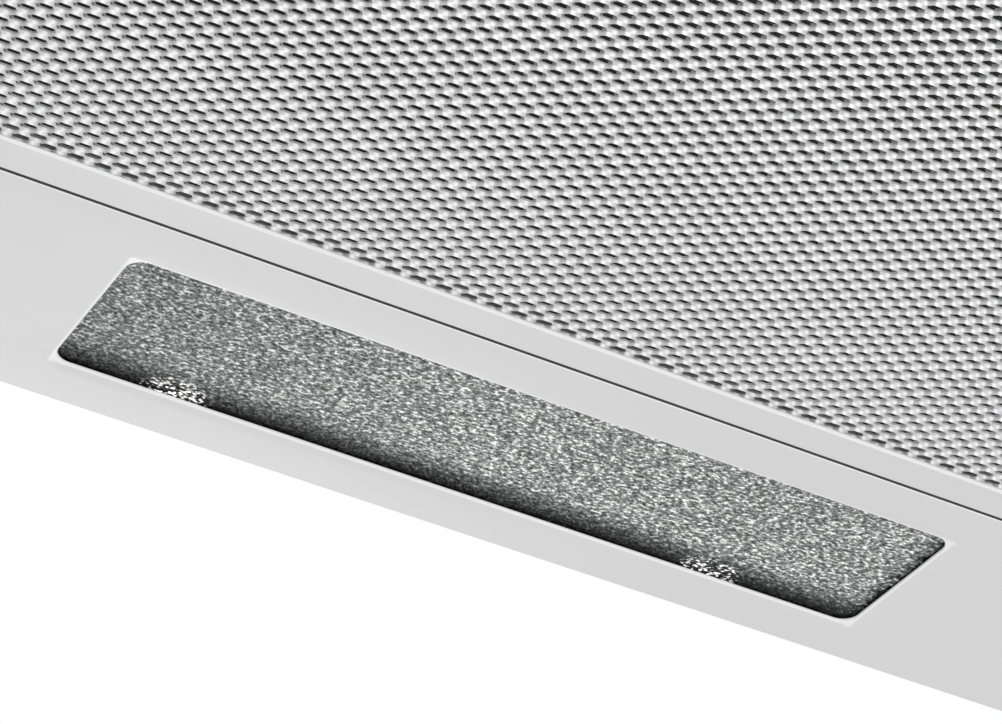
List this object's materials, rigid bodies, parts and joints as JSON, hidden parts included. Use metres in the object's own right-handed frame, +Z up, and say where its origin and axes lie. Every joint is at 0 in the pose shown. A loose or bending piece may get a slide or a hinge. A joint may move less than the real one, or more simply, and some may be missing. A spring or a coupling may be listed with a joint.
{
  "type": "under cabinet range hood",
  "caption": "White under cabinet range hood with a full-width mesh filter, a pebbled lamp lens behind the front lip, a twin-wheel blower and a rectangular duct collar.",
  "frame": {"origin": "centre of the four cabinet screw slots, in the plane of the top face that meets the cabinet", "axes": "+X to the right of a cook facing the hood, +Y towards the wall, +Z up"},
  "size_m": [0.759, 0.51, 0.1875],
  "materials": {
    "white_paint": "satin",
    "galvanised": "satin",
    "mesh_aluminium": "satin",
    "pebbled_lens": "satin",
    "black_plastic": "matte",
    "white_plastic": "satin",
    "zinc_steel": "satin",
    "black_rubber": "matte",
    "motor_paint": "satin",
    "bronze": "satin",
    "lamp_housing": "satin",
    "lamp_cover": "gloss",
    "harness_sleeve": "matte",
    "spring_steel": "satin"
  },
  "bodies": {
    "root": {"blower_closing_plate": "galvanised", "cable_bushing": "black_plastic", "capacitor_clip": "galvanised", "casing_screws": "zinc_steel", "connector_screws": "zinc_steel", "duct_connector": "galvanised", "fan_switch_case": "black_plastic", "inlet_ring_left": "galvanised", "inlet_ring_right": "galvanised", "lamp_box": "galvanised", "lamp_box_nuts": "zinc_steel", "lamp_box_studs": "zinc_steel", "lamp_dome_left": "lamp_cover", "lamp_dome_right": "lamp_cover", "lamp_lens": "pebbled_lens", "lamp_module_left": "lamp_housing", "lamp_module_right": "lamp_housing", "lamp_rail": "galvanised", "lens_clips": "spring_steel", "lens_gasket": "black_rubber", "lens_panel": "white_paint", "light_switch_case": "black_plastic", "motor_body": "motor_paint", "motor_bushes": "bronze", "motor_holder": "galvanised", "pivot_bracket_left": "galvanised", "pivot_bracket_right": "galvanised", "rear_duct_cover": "white_paint", "rear_wall": "white_paint", "rocker_pins": "zinc_steel", "run_capacitor": "black_plastic", "scroll_left": "galvanised", "scroll_right": "galvanised", "side_wall_left": "white_paint", "side_wall_right": "white_paint", "terminal_block": "black_plastic", "top_shell": "white_paint", "wiring_box": "galvanised", "wiring_cover": "galvanised", "wiring_harness": "harness_sleeve"},
    "filter": {"filter_frame": "white_paint", "filter_mesh_outer": "mesh_aluminium", "filter_mesh_second": "mesh_aluminium", "filter_mesh_third": "mesh_aluminium", "filter_mesh_inner": "mesh_aluminium", "filter_pivot_pins": "zinc_steel", "latch_spring_left": "spring_steel", "latch_spring_right": "spring_steel"},
    "latch_left": {"filter_latch_left": "zinc_steel"},
    "latch_right": {"filter_latch_right": "zinc_steel"},
    "rotor": {"motor_shaft": "zinc_steel", "motor_rotor": "galvanised", "blower_wheel_left": "galvanised", "blower_wheel_right": "galvanised"},
    "damper": {"damper_flap": "galvanised", "damper_rod": "zinc_steel"},
    "fan_rocker_body": {"fan_rocker": "white_plastic"},
    "light_rocker_body": {"light_rocker": "white_plastic"}
  },
  "joints": [
    {"name": "filter_hinge", "type": "hinge", "parent": "root", "child": "filter", "pos_m": [0, 0.134, -0.135], "axis": [1, 0, 0], "range_deg": [0, 80]},
    {"name": "latch_left_slide", "type": "slide", "parent": "filter", "child": "latch_left", "axis": [0, 1, 0], "range_m": [0, 0.004], "stiffness_N_per_m": 500, "springref_m": -0.004, "deforming": ["latch_spring_left"]},
    {"name": "latch_right_slide", "type": "slide", "parent": "filter", "child": "latch_right", "axis": [0, 1, 0], "range_m": [0, 0.004], "stiffness_N_per_m": 500, "springref_m": -0.004, "deforming": ["latch_spring_right"]},
    {"name": "blower_spin", "type": "hinge", "parent": "root", "child": "rotor", "pos_m": [0, 0.054, -0.064], "axis": [1, 0, 0], "continuous": true},
    {"name": "damper_hinge", "type": "hinge", "parent": "root", "child": "damper", "pos_m": [0, 0.0445, 0.009], "axis": [1, 0, 0], "range_deg": [0, 80]},
    {"name": "fan_rocker_tilt", "type": "hinge", "parent": "root", "child": "fan_rocker_body", "pos_m": [0.2447, -0.342, -0.121], "axis": [0, 0, 1], "range_deg": [-10, 10]},
    {"name": "light_rocker_tilt", "type": "hinge", "parent": "root", "child": "light_rocker_body", "pos_m": [0.2887, -0.342, -0.121], "axis": [0, 0, 1], "range_deg": [-10, 10]}
  ]
}
